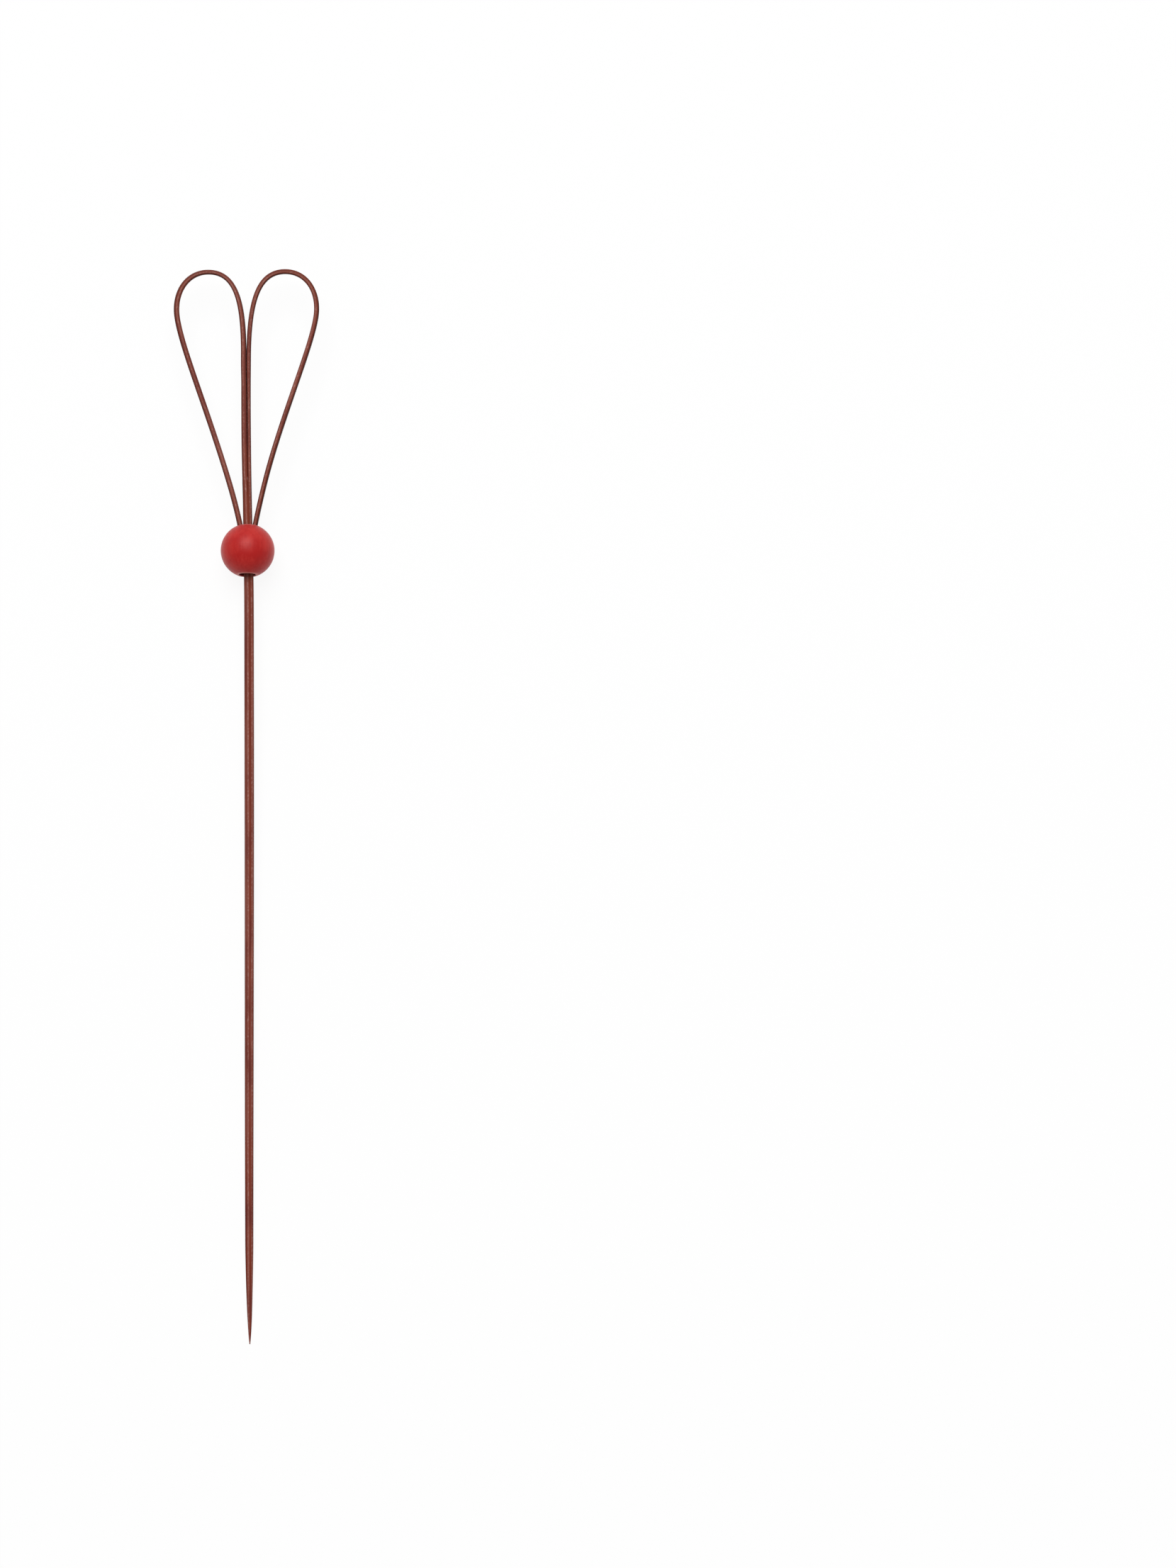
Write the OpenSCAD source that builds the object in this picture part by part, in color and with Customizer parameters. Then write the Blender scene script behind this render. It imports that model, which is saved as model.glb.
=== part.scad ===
// A cocktail pick: a slim sharpened bamboo stick whose upper end is split in two strips.
// Each strip is bent over outwards into a loop, and its pared end is tucked into a wooden bead
// that is threaded on the stick. The pick lies on its side, as it comes to rest on a table:
// the loops point along +Y, and the bead and the point touch the table at Z = 0.

/* [Stick] */
// Width of the stick at the bead, across the loops
stick_w = 1.06; // [0.9:0.02:1.4]
// Thickness of the stick where it runs through the bead
neck_d = 0.80; // [0.7:0.02:1]
// Thickness of the stick at its fullest place, below the bead
belly_d = 0.92; // [0.8:0.02:1.2]
// Distance from the middle of the bead to the fullest place
belly_at = 22; // [12:1:40]
// Width of the stick where the point begins
shoulder_w = 0.90; // [0.6:0.02:1]
// Thickness of the stick where the point begins
shoulder_d = 0.80; // [0.6:0.02:1]
// Length from the middle of the bead to the tip
tip_length = 88.5; // [60:0.5:140]
// Length of the sharpened point
point_length = 12; // [6:0.5:20]
// Width of the blunt end that is left at the very tip
tip_w = 0.10; // [0.06:0.02:0.3]

/* [Loops] */
// Height of the top of the loops above the middle of the bead
loops_top = 31.5; // [29:0.25:36]
// Width over both loops
loops_w = 16.2; // [13:0.1:22]
// Distance of the top of each loop from the middle line
crown_x = 4.3; // [3.4:0.1:5.2]
// Height above the middle of the bead at which the loops are widest
widest_h = 27; // [25.5:0.25:28]
// Height above the middle of the bead at which the strips start to part
lift_h = 21.6; // [18:0.2:23]
// Height above the middle of the bead at which the split ends
split_h = 8; // [5:0.25:14]
// Angle between each strip and the stick where the strip goes into the bead
entry_angle = 11.5; // [6:0.5:16]

/* [Strips] */
// Thickness of a strip where it comes down to the bead, from its skin to its split face
strip_t = 0.57; // [0.5:0.01:0.7]
// Thickness of a strip at the top of its loop, where the bend has pressed it
crown_t = 0.50; // [0.4:0.01:0.6]
// Width of a strip, along the thickness of the stick
strip_d = 0.76; // [0.6:0.02:0.9]
// Gap between the two strips where they stand together
slit_w = 0.04; // [0.03:0.01:0.1]
// Width of the broken edge along each side of the split faces
edge_w = 0.07; // [0.05:0.01:0.1]
// Thickness of the pared end that is tucked into the bead
tucked_t = 0.25; // [0.2:0.01:0.35]
// Width of the pared end that is tucked into the bead
tucked_d = 0.46; // [0.3:0.02:0.6]
// Gap between the pared end and the stick
tuck_gap = 0.05; // [0.03:0.01:0.1]
// Length of the pared end inside the bead
tucked_length = 2.2; // [1:0.1:2.6]

/* [Bead] */
// Diameter of the bead
bead_d = 6; // [5:0.1:9]
// Radius of the rounded rim of each mouth of the bore
mouth_round = 0.16; // [0.1:0.01:0.35]
// Gap between the bore and what is tucked into it
bore_gap = 0.05; // [0.03:0.01:0.2]
// Angle by which the bead sits askew on the stick
bead_lean = 8; // [0:0.5:10]

/* [Hidden] */

bead_r = bead_d / 2;

// The bore lets both pared ends and the leaning stick through
bore_for_ends = stick_w / 2 + tuck_gap + tucked_t + bore_gap;
bore_lead = (bead_r - mouth_round) * tan(bead_lean);
bore_for_stick = norm([stick_w / 4, neck_d / 4 + bore_lead]) + neck_d / 4 + bore_gap;
bore_r = max(bore_for_ends, bore_for_stick);

// The rim's circle crosses the bore and the ball by a hair, so that no two surfaces only touch
rim_bite = 0.012;
rim_x = bore_r + mouth_round - rim_bite;
rim_h = sqrt(pow(bead_r - mouth_round + rim_bite, 2) - pow(rim_x, 2));

// Fullness of the curves, as a share of the distance that each one covers
flank_pull = 0.64;
crown_pull_in = 0.78;
crown_pull_out = 0.58;
shoulder_pull = 0.60;
leg_pull_top = 0.15;
leg_pull_foot = 0.43;

// The sections are rounded boxes, with this exponent on the sine and cosine
roundness = 0.72;
skin_angles = [for (i = [-4 : 4]) 18 * i];
crest_angle = 84;
half_n = len(skin_angles) + 4;
ring_n = 2 * half_n - 2;

// Shape of the sharpened point: 1 - (1 - q) ^ point_bow, all to the power point_bluntness
point_bow = 1.6;
point_bluntness = 0.6;

function mix(a, b, t) = a + (b - a) * t;
function clamp01(t) = min(1, max(0, t));
function ease(t) = clamp01(t) * clamp01(t) * (3 - 2 * clamp01(t));
function bezier(p, t) =
    pow(1 - t, 3) * p[0] + 3 * pow(1 - t, 2) * t * p[1] + 3 * (1 - t) * t * t * p[2] + pow(t, 3) * p[3];
function bezier_way(p, t) =
    pow(1 - t, 2) * (p[1] - p[0]) + 2 * (1 - t) * t * (p[2] - p[1]) + t * t * (p[3] - p[2]);
function unit(v) = v / norm(v);

// A point of the rounded outline of half a section that is t wide and d thick
function outline_point(t, d, angle) =
    [t * pow(cos(angle), roundness), d / 2 * sign(angle) * pow(abs(sin(angle)), roundness)];

// Half of the stick's section, from the split plane (x = 0) out to the skin (x = t).
// Where the stick is split, the edges of the split face are broken.
function half_section(t, d, is_split) =
    let (
        edge = min(edge_w, t / 4),
        shut = outline_point(t, d, crest_angle),
        near = is_split ? [0, d / 2 - edge] : [0, d / 2],
        next = is_split ? [edge, d / 2] : shut
    )
    concat(
        [[near[0], -near[1]], [next[0], -next[1]]],
        [for (angle = skin_angles) outline_point(t, d, angle)],
        [next, near]
    );

// Width and thickness of the stick at a height h above the middle of the bead
shoulder_h = point_length - tip_length;
function point_share(h) =
    let (q = clamp01((h + tip_length) / point_length))
    max(tip_w / shoulder_w, pow(1 - pow(1 - q, point_bow), point_bluntness));
function stick_w_at(h) = mix(stick_w, shoulder_w, pow(clamp01(h / shoulder_h), 2)) * point_share(h);
function stick_d_at(h) = point_share(h) * (h > -belly_at
    ? mix(neck_d, belly_d, ease(-h / belly_at))
    : mix(belly_d, shoulder_d, ease((h + belly_at) / (shoulder_h + belly_at))));

// One ring of the whole stick. The two halves share the points on the split plane.
function stick_ring(h, is_split) =
    let (half = half_section(stick_w_at(h) / 2, stick_d_at(h), is_split))
    concat(
        [for (p = half) [p[0], h, p[1]]],
        [for (k = [half_n - 2 : -1 : 1]) [-half[k][0], h, half[k][1]]]
    );

// Heights of the stick's rings, closest along the point
point_steps = 14;
shank_steps = 12;
stick_heights = concat(
    [for (i = [0 : point_steps - 1]) -tip_length + point_length * pow(i / point_steps, 1.6)],
    [for (i = [0 : shank_steps]) mix(shoulder_h, 0, i / shank_steps)],
    [split_h / 2]
);
stick_rings = concat(
    [for (h = stick_heights) stick_ring(h, false)],
    [stick_ring(split_h, true)]
);

// Thickness of a strip where the two stand together, as wide as the stick below the split
pair_t = (stick_w - slit_w) / 2;

// Course of the middle of the right-hand strip, in the plane of the loops
lift = [(slit_w + pair_t) / 2, lift_h];
crown = [crown_x, loops_top - crown_t / 2];
widest = [loops_w / 2 - strip_t / 2, widest_h];
foot = [stick_w / 2 + tuck_gap + strip_t / 2, bead_r];
flank_curve = [
    lift,
    lift + [0, flank_pull * (crown[1] - lift[1])],
    crown - [crown_pull_in * (crown[0] - lift[0]), 0],
    crown
];
shoulder_curve = [
    crown,
    crown + [crown_pull_out * (widest[0] - crown[0]), 0],
    widest + [0, shoulder_pull * (crown[1] - widest[1])],
    widest
];
leg_curve = [
    widest,
    widest - [0, leg_pull_top * (widest[1] - foot[1])],
    foot + leg_pull_foot * (widest[1] - foot[1]) * [sin(entry_angle), cos(entry_angle)],
    foot
];

// The leg drifts back as it nears the leaning bead, and follows its bore
drift_length = 7;
function drift(h) =
    -min(h, bead_r) * tan(bead_lean) * ease((bead_r + drift_length - h) / drift_length);

// One ring of the right-hand strip: middle point, way ahead, thickness, width and drift
function strip_ring(p, way, t, d, z) =
    let (n = [-unit(way)[1], unit(way)[0]])
    [for (s = half_section(t, d, true))
        [p[0] + n[0] * (t / 2 - s[0]), p[1] + n[1] * (t / 2 - s[0]), z + s[1]]];

split_steps = 9;
flank_steps = 16;
shoulder_steps = 12;
leg_steps = 22;
tuck_steps = 4;

// The pared end runs straight along the stick, from the rim of the bore to its tip
function tuck_ring(h, t, d) =
    strip_ring([stick_w / 2 + tuck_gap + t / 2, h], [0, -1], t, d, drift(h));
pare_end = rim_h + mouth_round / 3;
tuck_end = bead_r - tucked_length;

strip_rings = concat(
    [for (i = [1 : split_steps])
        let (u = i / split_steps)
        strip_ring([lift[0], mix(split_h, lift_h, u)], [0, 1], pair_t, mix(neck_d, strip_d, u), 0)],
    [for (i = [1 : flank_steps])
        let (u = i / flank_steps)
        strip_ring(bezier(flank_curve, u), bezier_way(flank_curve, u), mix(pair_t, crown_t, ease(u)),
            strip_d, 0)],
    [for (i = [1 : shoulder_steps])
        let (u = i / shoulder_steps)
        strip_ring(bezier(shoulder_curve, u), bezier_way(shoulder_curve, u),
            mix(crown_t, strip_t, ease(u)), strip_d, 0)],
    [for (i = [1 : leg_steps])
        let (u = i / leg_steps, p = bezier(leg_curve, u))
        strip_ring(p, bezier_way(leg_curve, u), strip_t, strip_d, drift(p[1]))],
    [tuck_ring(pare_end, tucked_t, tucked_d)],
    [for (i = [1 : tuck_steps])
        tuck_ring(mix(pare_end, tuck_end, i / tuck_steps), tucked_t, tucked_d)]
);

// Triangles between two rings whose point numbers are listed, and their mirror image
function band(a, b) = [for (k = [0 : len(a) - 1])
    let (m = (k + 1) % len(a))
    each [[a[k], a[m], b[m]], [a[k], b[m], b[k]]]];
function flipped(faces) = [for (f = faces) [for (i = [len(f) - 1 : -1 : 0]) f[i]]];
function numbers(first, n) = [for (k = [0 : n - 1]) first + k];

// The stick and both strips are one closed skin that forks where the split ends
module bamboo_pick() {
    stick_last = len(stick_rings) - 1;
    strip_last = len(strip_rings) - 1;
    right_first = len(stick_rings) * ring_n;
    left_first = right_first + len(strip_rings) * half_n;
    mirrored = [for (ring = strip_rings) [for (p = ring) [-p[0], p[1], p[2]]]];
    fork = stick_last * ring_n;
    fork_right = numbers(fork, half_n);
    fork_left = [for (k = [0 : half_n - 1])
        k == 0 || k == half_n - 1 ? fork + k : fork + ring_n - k];
    points = concat(
        [for (ring = stick_rings) each ring],
        [for (ring = strip_rings) each ring],
        [for (ring = mirrored) each ring]
    );
    faces = concat(
        flipped([numbers(0, ring_n)]),
        [for (i = [0 : stick_last - 1])
            each band(numbers(i * ring_n, ring_n), numbers((i + 1) * ring_n, ring_n))],
        band(fork_right, numbers(right_first, half_n)),
        flipped(band(fork_left, numbers(left_first, half_n))),
        [for (j = [0 : strip_last - 1])
            each band(numbers(right_first + j * half_n, half_n),
                numbers(right_first + (j + 1) * half_n, half_n))],
        [for (j = [0 : strip_last - 1])
            each flipped(band(numbers(left_first + j * half_n, half_n),
                numbers(left_first + (j + 1) * half_n, half_n)))],
        [numbers(right_first + strip_last * half_n, half_n)],
        flipped([numbers(left_first + strip_last * half_n, half_n)])
    );
    color([0.44, 0.22, 0.18])
        at_rest()
            polyhedron(points = points, faces = faces, convexity = 8);
}

// The rounded mouth at the top of the bead, as the space that it takes away
module mouth() {
    rotate_extrude($fn = 96)
        difference() {
            translate([0, rim_h]) square([rim_x + mouth_round / 2, bead_r]);
            translate([rim_x, rim_h]) circle(r = mouth_round, $fn = 96);
        }
}

module bead() {
    color([0.68, 0.13, 0.12])
        at_rest()
            rotate([-90 - bead_lean, 0, 0])
                difference() {
                    sphere(r = bead_r, $fn = 96);
                    cylinder(r = bore_r, h = bead_d + 1, center = true, $fn = 96);
                    mouth();
                    mirror([0, 0, 1]) mouth();
                }
}

// On the table the bead and the point carry the pick. The pitch is the smallest turn at which
// some place along the point's underside comes down to the bead's lowest level.
function pitch_at(h) =
    let (half_d = stick_d_at(h) / 2)
    asin(bead_r / norm([h, half_d])) - atan2(half_d, -h);
rest_pitch = min([for (h = [-tip_length : point_length / 40 : shoulder_h]) pitch_at(h)]);
top_y = loops_top * cos(rest_pitch) + strip_d / 2 * sin(rest_pitch);
tip_y = -tip_length * cos(rest_pitch);

module at_rest() {
    translate([0, -(top_y + tip_y) / 2, bead_r])
        rotate([rest_pitch, 0, 0])
            children();
}

bamboo_pick();
bead();
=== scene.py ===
import math

import bmesh
import bpy
import numpy as np
from mathutils import Matrix, Vector


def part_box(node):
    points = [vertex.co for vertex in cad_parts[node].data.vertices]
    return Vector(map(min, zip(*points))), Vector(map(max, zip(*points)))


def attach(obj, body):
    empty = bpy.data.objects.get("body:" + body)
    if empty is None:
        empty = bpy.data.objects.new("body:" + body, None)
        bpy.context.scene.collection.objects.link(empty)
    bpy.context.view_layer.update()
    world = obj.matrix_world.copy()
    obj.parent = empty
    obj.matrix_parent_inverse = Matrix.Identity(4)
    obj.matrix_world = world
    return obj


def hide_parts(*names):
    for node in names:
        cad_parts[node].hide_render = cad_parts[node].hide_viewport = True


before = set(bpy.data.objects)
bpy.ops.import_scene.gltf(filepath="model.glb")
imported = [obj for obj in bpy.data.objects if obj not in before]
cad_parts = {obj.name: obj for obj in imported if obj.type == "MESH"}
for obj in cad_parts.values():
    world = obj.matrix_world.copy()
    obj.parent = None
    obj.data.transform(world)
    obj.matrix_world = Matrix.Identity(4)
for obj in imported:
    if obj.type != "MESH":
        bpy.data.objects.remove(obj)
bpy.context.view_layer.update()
mm = 0.001
print("frame loaded:", sorted(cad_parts))

scene = bpy.context.scene
scene.view_settings.view_transform = "Standard"


# Small helpers for numbers

def mix(a, b, share):
    return a + (b - a) * share


def ease(t):
    t = min(1.0, max(0.0, t))
    return t * t * (3 - 2 * t)


def ramp(x, start, end):
    # rises smoothly from 0 at the start to 1 at the end
    return ease((x - start) / (end - start))


def through(points, x):
    # a smooth line through a few given points
    places = [p[0] for p in points]
    i = min(max(int(np.searchsorted(places, x)) - 1, 0), len(points) - 2)
    slopes = []
    for k in (i, i + 1):
        before, after = points[max(k - 1, 0)], points[min(k + 1, len(points) - 1)]
        slopes.append((after[1] - before[1]) / (after[0] - before[0]))
    (x0, y0), (x1, y1) = points[i], points[i + 1]
    span = x1 - x0
    t = min(1.0, max(0.0, (x - x0) / span))
    s = 1 - t
    return (y0 * s * s * (1 + 2 * t) + y1 * t * t * (1 + 2 * s)
            + span * t * s * (slopes[0] * s - slopes[1] * t))


def bezierPoint(p, t):
    s = 1 - t
    return s ** 3 * p[0] + 3 * s * s * t * p[1] + 3 * s * t * t * p[2] + t ** 3 * p[3]


def bezierWay(p, t):
    s = 1 - t
    return (s * s * (p[1] - p[0]) + 2 * s * t * (p[2] - p[1]) + t * t * (p[3] - p[2])).normalized()


# Nodes written as sums

class Wire:                                   # one output socket of a node
    def __init__(self, bench, socket):
        self.bench = bench
        self.socket = socket

    def also(self, name):                     # another output of the same node
        return Wire(self.bench, self.bench.find(self.socket.node.outputs, name))

    def __add__(self, other):
        return self.bench.math("ADD", self, other)

    def __radd__(self, other):
        return self.bench.math("ADD", other, self)

    def __sub__(self, other):
        return self.bench.math("SUBTRACT", self, other)

    def __rsub__(self, other):
        return self.bench.math("SUBTRACT", other, self)

    def __mul__(self, other):
        return self.bench.math("MULTIPLY", self, other)

    def __rmul__(self, other):
        return self.bench.math("MULTIPLY", other, self)


class Bench:                                  # builds a node tree, for a material or a modifier
    def __init__(self, tree):
        self.tree = tree
        self.groupInput = None

    def find(self, sockets, key):             # by number, by name, or the first one in use
        if isinstance(key, int):
            return sockets[key]
        return next(s for s in sockets if s.enabled and key in (None, s.name))

    def node(self, kind, settings=None, sockets=None, output=None):
        made = self.tree.nodes.new(kind)
        for name, value in (settings or {}).items():
            setattr(made, name, value)
        for key, value in (sockets or {}).items():
            socket = self.find(made.inputs, key)
            for one in value if isinstance(value, list) else [value]:
                if isinstance(one, Wire):
                    self.tree.links.new(one.socket, socket)
                else:
                    socket.default_value = one
        return Wire(self, self.find(made.outputs, output)) if made.outputs else made

    def math(self, operation, *values):
        return self.node("ShaderNodeMath", {"operation": operation}, dict(enumerate(values)))

    def vector(self, operation, *values):
        return self.node("ShaderNodeVectorMath", {"operation": operation}, dict(enumerate(values)))

    def scaled(self, vector, factor):
        return self.node("ShaderNodeVectorMath", {"operation": "SCALE"}, {0: vector, "Scale": factor})

    def blend(self, share, a, b):             # colours
        return self.node("ShaderNodeMix", {"data_type": "RGBA", "blend_type": "MIX"},
                         {"Factor": share, "A": a, "B": b})

    def parts(self, vector):
        split = self.node("ShaderNodeSeparateXYZ", None, {0: vector})
        return split, split.also("Y"), split.also("Z")

    def whole(self, x, y, z):
        return self.node("ShaderNodeCombineXYZ", None, {0: x, 1: y, 2: z})

    def noise(self, place, scale=1.0, detail=2.0, roughness=0.5):
        return self.node("ShaderNodeTexNoise", {"noise_dimensions": "3D"},
                         {"Vector": place, "Scale": scale, "Detail": detail, "Roughness": roughness})

    def span(self, value, low, high, toLow=0.0, toHigh=1.0):   # a clamped change of range
        return self.node("ShaderNodeMapRange", {"clamp": True},
                         {0: value, 1: low, 2: high, 3: toLow, 4: toHigh})

    def given(self, name):                    # an input of the modifier
        if self.groupInput is None:
            self.groupInput = self.tree.nodes.new("NodeGroupInput")
        return Wire(self, self.groupInput.outputs[name])

    def read(self, name, kind="FLOAT"):       # a named attribute of the mesh
        return self.node("GeometryNodeInputNamedAttribute", {"data_type": kind}, {"Name": name})

    def shown(self, name, output="Fac"):      # the same, read by a material
        return self.node("ShaderNodeAttribute", {"attribute_name": name}, output=output)

    def store(self, geometry, name, value, kind="FLOAT"):
        return self.node("GeometryNodeStoreNamedAttribute", {"data_type": kind, "domain": "POINT"},
                         {"Geometry": geometry, "Name": name, "Value": value})


def newModifierTree(name, inputs):
    tree = bpy.data.node_groups.new(name, "GeometryNodeTree")
    tree.interface.new_socket("Geometry", in_out="INPUT", socket_type="NodeSocketGeometry")
    for label, (kind, value) in inputs.items():
        made = tree.interface.new_socket(label, in_out="INPUT", socket_type="NodeSocket" + kind)
        if kind in ("Float", "Int"):
            made.default_value = value
    tree.interface.new_socket("Geometry", in_out="OUTPUT", socket_type="NodeSocketGeometry")
    return Bench(tree)


def finishTree(bench, geometry):
    geometry = bench.node("GeometryNodeSetShadeSmooth", None, {"Geometry": geometry})
    geometry = bench.node("GeometryNodeRealizeInstances", None, {"Geometry": geometry})
    geometry = bench.node("GeometryNodeSetMaterial", None,
                          {"Geometry": geometry, "Material": bench.given("Material")})
    bench.node("NodeGroupOutput", None, {"Geometry": geometry})


def pieceFromTree(name, host, bench, inputs, place, shown):
    # runs the tree on the host mesh, then keeps the plain mesh and the values shown by its material
    modifier = host.modifiers.new(name, "NODES")
    modifier.node_group = bench.tree
    for item in bench.tree.interface.items_tree:
        if item.in_out == "INPUT" and item.name in inputs:
            modifier[item.identifier] = inputs[item.name][1]
    bpy.context.view_layer.update()
    shaped = host.evaluated_get(bpy.context.evaluated_depsgraph_get())
    mesh = bpy.data.meshes.new_from_object(shaped)
    mesh.name = name
    host.modifiers.remove(modifier)
    spent = [a.name for a in mesh.attributes if a.data_type in ("FLOAT", "FLOAT_VECTOR")]
    for label in spent:
        if label not in ("position", *shown):
            mesh.attributes.remove(mesh.attributes[label])
    mesh.transform(place)
    form = bmesh.new()
    form.from_mesh(mesh)
    bmesh.ops.recalc_face_normals(form, faces=form.faces)
    openEdges = sum(1 for edge in form.edges if not edge.is_manifold)
    form.to_mesh(mesh)
    form.free()
    piece = bpy.data.objects.new(name, mesh)
    scene.collection.objects.link(piece)
    print(name, "has", len(mesh.polygons), "faces and", openEdges, "open edges")
    return piece


def lineMesh(name, chains, closed, attributes):
    # a mesh of edges alone, with a value of each attribute at each point
    points = [p for chain in chains for p in chain]
    edges, first = [], 0
    for chain in chains:
        edges += [(first + i, first + i + 1) for i in range(len(chain) - 1)]
        if closed:
            edges.append((first + len(chain) - 1, first))
        first += len(chain)
    mesh = bpy.data.meshes.new(name)
    mesh.from_pydata(points, edges, [])
    for label, values in attributes.items():
        isVector = isinstance(values[0], (tuple, Vector))
        made = mesh.attributes.new(label, "FLOAT_VECTOR" if isVector else "FLOAT", "POINT")
        flat = [x for v in values for x in v] if isVector else values
        made.data.foreach_set("vector" if isVector else "value", flat)
    line = bpy.data.objects.new(name, mesh)
    scene.collection.objects.link(line)
    return line


# Camera

camera = {
    "imageHeight": 2212,         # pixels of the photograph, as is the width
    "imageWidth": 1659,
    "lens": 93.0,                # on a 36 mm sensor, mm
    "distance": 452.0,           # from the lens to the bead, mm
    "tilt": 3.05,                # off straight down, from the side of the point, degrees
    "beadAt": (349.35, 776.74),  # where the middle of the bead shows, pixels
    "sensor": 36.0,
}
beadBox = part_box("bead")
beadCentre = (beadBox[0] + beadBox[1]) / 2


def placeCamera():
    data = bpy.data.cameras.new("camera")
    data.lens = camera["lens"]
    data.sensor_width = camera["sensor"]
    data.clip_start = 0.01
    data.clip_end = 20
    focal = camera["lens"] / camera["sensor"] * camera["imageHeight"]
    depth = camera["distance"] * mm
    toRight = (camera["beadAt"][0] - camera["imageWidth"] / 2) / focal * depth
    upwards = (camera["imageHeight"] / 2 - camera["beadAt"][1]) / focal * depth
    turn = Matrix.Rotation(math.radians(camera["tilt"]), 4, "X")
    made = bpy.data.objects.new("camera", data)
    spot = beadCentre - turn.to_3x3() @ Vector((toRight, upwards, -depth))
    made.matrix_world = Matrix.Translation(spot) @ turn
    scene.collection.objects.link(made)
    scene.camera = made


placeCamera()
print("camera placed")


# Bamboo: the stick, split and bent into two loops

bamboo = {                       # millimetres and degrees
    "stickWidth": 1.06,
    "neckDepth": 0.80,
    "bellyDepth": 0.92,
    "bellyAt": 22.0,
    "shoulderWidth": 0.90,
    "shoulderDepth": 0.80,
    "tipLength": 88.5,           # from the middle of the bead to the tip
    "pointLength": 12.0,
    "tipWidth": 0.10,
    "tipRound": 0.03,
    "pointBow": 1.6,             # how early the point reaches its full width
    "pointBluntness": 0.6,       # below 1 the point is blunt, above 1 it is hollow
    "roundness": 0.72,           # power in the section's outline: 1 is an ellipse, less is boxier
    "loopsTop": 31.5,
    "loopsWidth": 16.2,
    "crownX": 4.3,
    "widestAt": 27.0,
    "liftAt": 21.6,
    "splitAt": 8.0,
    "scoreAt": 5.0,              # where the split starts as a scored line
    "entryAngle": 11.5,
    "stripThick": 0.57,
    "crownThick": 0.50,
    "stripDepth": 0.76,
    "slit": 0.04,
    "slitOpensOver": 6.0,
    "splitAside": 0.14,          # how far the split runs to the right of the stick's middle
    "splitStays": 16.0,          # height up to which it stays there
    "splitReturns": 2 / 3,       # share of it that is gone where the strips part
    "handles": {                 # fullness of the bends, as shares of the distance they cover
        "flankUp": 0.64, "flankOut": 0.78, "shoulderOut": 0.58, "shoulderDown": 0.60,
        "legDown": 0.15, "legUp": 0.43,
    },
    "stouterFrom": 0.75,         # share of the split's height from which a strip may grow stouter
    # how the left and the right strip depart from the plain form: thickness of flank and leg,
    # height of the crown, place of the foot, and angle there
    "uneven": {
        -1: {"flank": 0.05, "crown": -0.11, "leg": 0.03, "foot": 0.03, "entry": -0.7},
        1: {"flank": 0.01, "crown": -0.05, "leg": -0.03, "foot": -0.05, "entry": 0.8},
    },
    "waist": 0.06,               # how much narrower the stick is a little above the bead
    "waistAt": 5.5,
    "waistOver": 7.0,
    "edge": 0.07,                # broken edges of the split faces
    "tuckThick": 0.25,
    "tuckDepth": 0.46,
    "tuckGap": 0.05,
    "tuckLength": 2.2,
    "footAt": 2.86,              # where the paring starts
    "driftLength": 7.0,          # height above the bead where a leg starts to follow its lean
    "tipWorn": 0.2,              # how much of the tip's length is worn off
    "bow": [                     # height and how far to the right of the bead's middle
        (-88.5, 0.40), (-75.0, 0.31), (-30.0, 0.24), (-10.0, 0.18), (-4.0, 0.14),
        (5.0, -0.03), (12.0, -0.18), (20.0, -0.22), (31.5, -0.14)],
    "ringStep": 0.3,             # distance between two rings of points along the wood
    "pointRings": 44,
    "pointCrowding": 1.6,        # how much closer the rings stand towards the tip
    "pareRings": 6,
    "tuckRings": 8,
    "weldWithin": 0.0002,
    # how far right of the middle the stick's two ridges run, below and above, and the heights
    # between which they move over
    "crestsBelow": (-0.09, 0.33),
    "crestsAbove": (-0.25, 0.33),
    "crestsMove": (2.0, 14.0),
    "crestWidth": 0.11,
    "stripCrest": 0.56,          # where a strip's ridge runs, as a share of its thickness
    "grooveAt": 0.11,            # a groove of clear dye between the two ridges
    "grooveWidth": 0.10,
    "crestHeight": 0.020,
    "crestFloor": 0.3,           # share of a ridge that lies below the smooth skin
    "rightCrest": 0.7,           # height of the right ridge as a share of the left one's
    "crestWander": 0.08,         # how far the ridges stray sideways
    "wanderFineness": 0.05,      # turns of that per millimetre
    "reliefOver": 6.0,           # length of the point over which ridges and fibres fade in
    # painted shade on a strip's edges and split faces where it splits, lifts, turns at the crown, is widest
    # and ends
    "splitEdgeShade": (0.3, 0.6, 0.2, 1.0, 1.0),
    "skinEdgeShade": (0.9, 0.9, 1.0, 0.1, 0.4),
    "cleftDye": (0.4, 1.0, 0.2, 0.3, 0.3),
    "stickEdgeShade": 0.25,        # below the bead
    "edgeShadeGrows": (-2.0, 2.0),  # heights between which it grows to that of the strips
    "splitEdgeShare": 0.30,      # share of the thickness that the painted shade at a split's edge covers
    "skinEdgeFrom": 0.68,        # share of the thickness where the painted shade at the skin's edge starts
    "fibreWidth": 0.10,
    "fibreLength": 9.0,
    "fibreHeight": 0.018,
    "seed": 4.0,
}
bead = {                         # millimetres and degrees
    "radius": 3.0,
    "mouthRound": 0.16,
    "boreRadius": 0.905,
    "lean": 8.0,
    "around": 160,
    "wearAndHighlightFrom": 11 / 12,         # where the lip's wear and painted highlight start, as a share of the way from the waist
    "wearAndHighlightFades": (2.6, 2.1),     # angles round the lip where it is gone and full, in radians
    "boreStarts": (2.5, 3.1),    # the same for the look of the bore
    "dentSize": 1.3,
    "dentDepth": 0.012,
    "seed": 11.0,
}
b = bamboo
tipAt = b["tipWorn"] - b["tipLength"]
shoulderAt = tipAt + b["pointLength"]
leanSlope = math.tan(math.radians(bead["lean"]))


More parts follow.
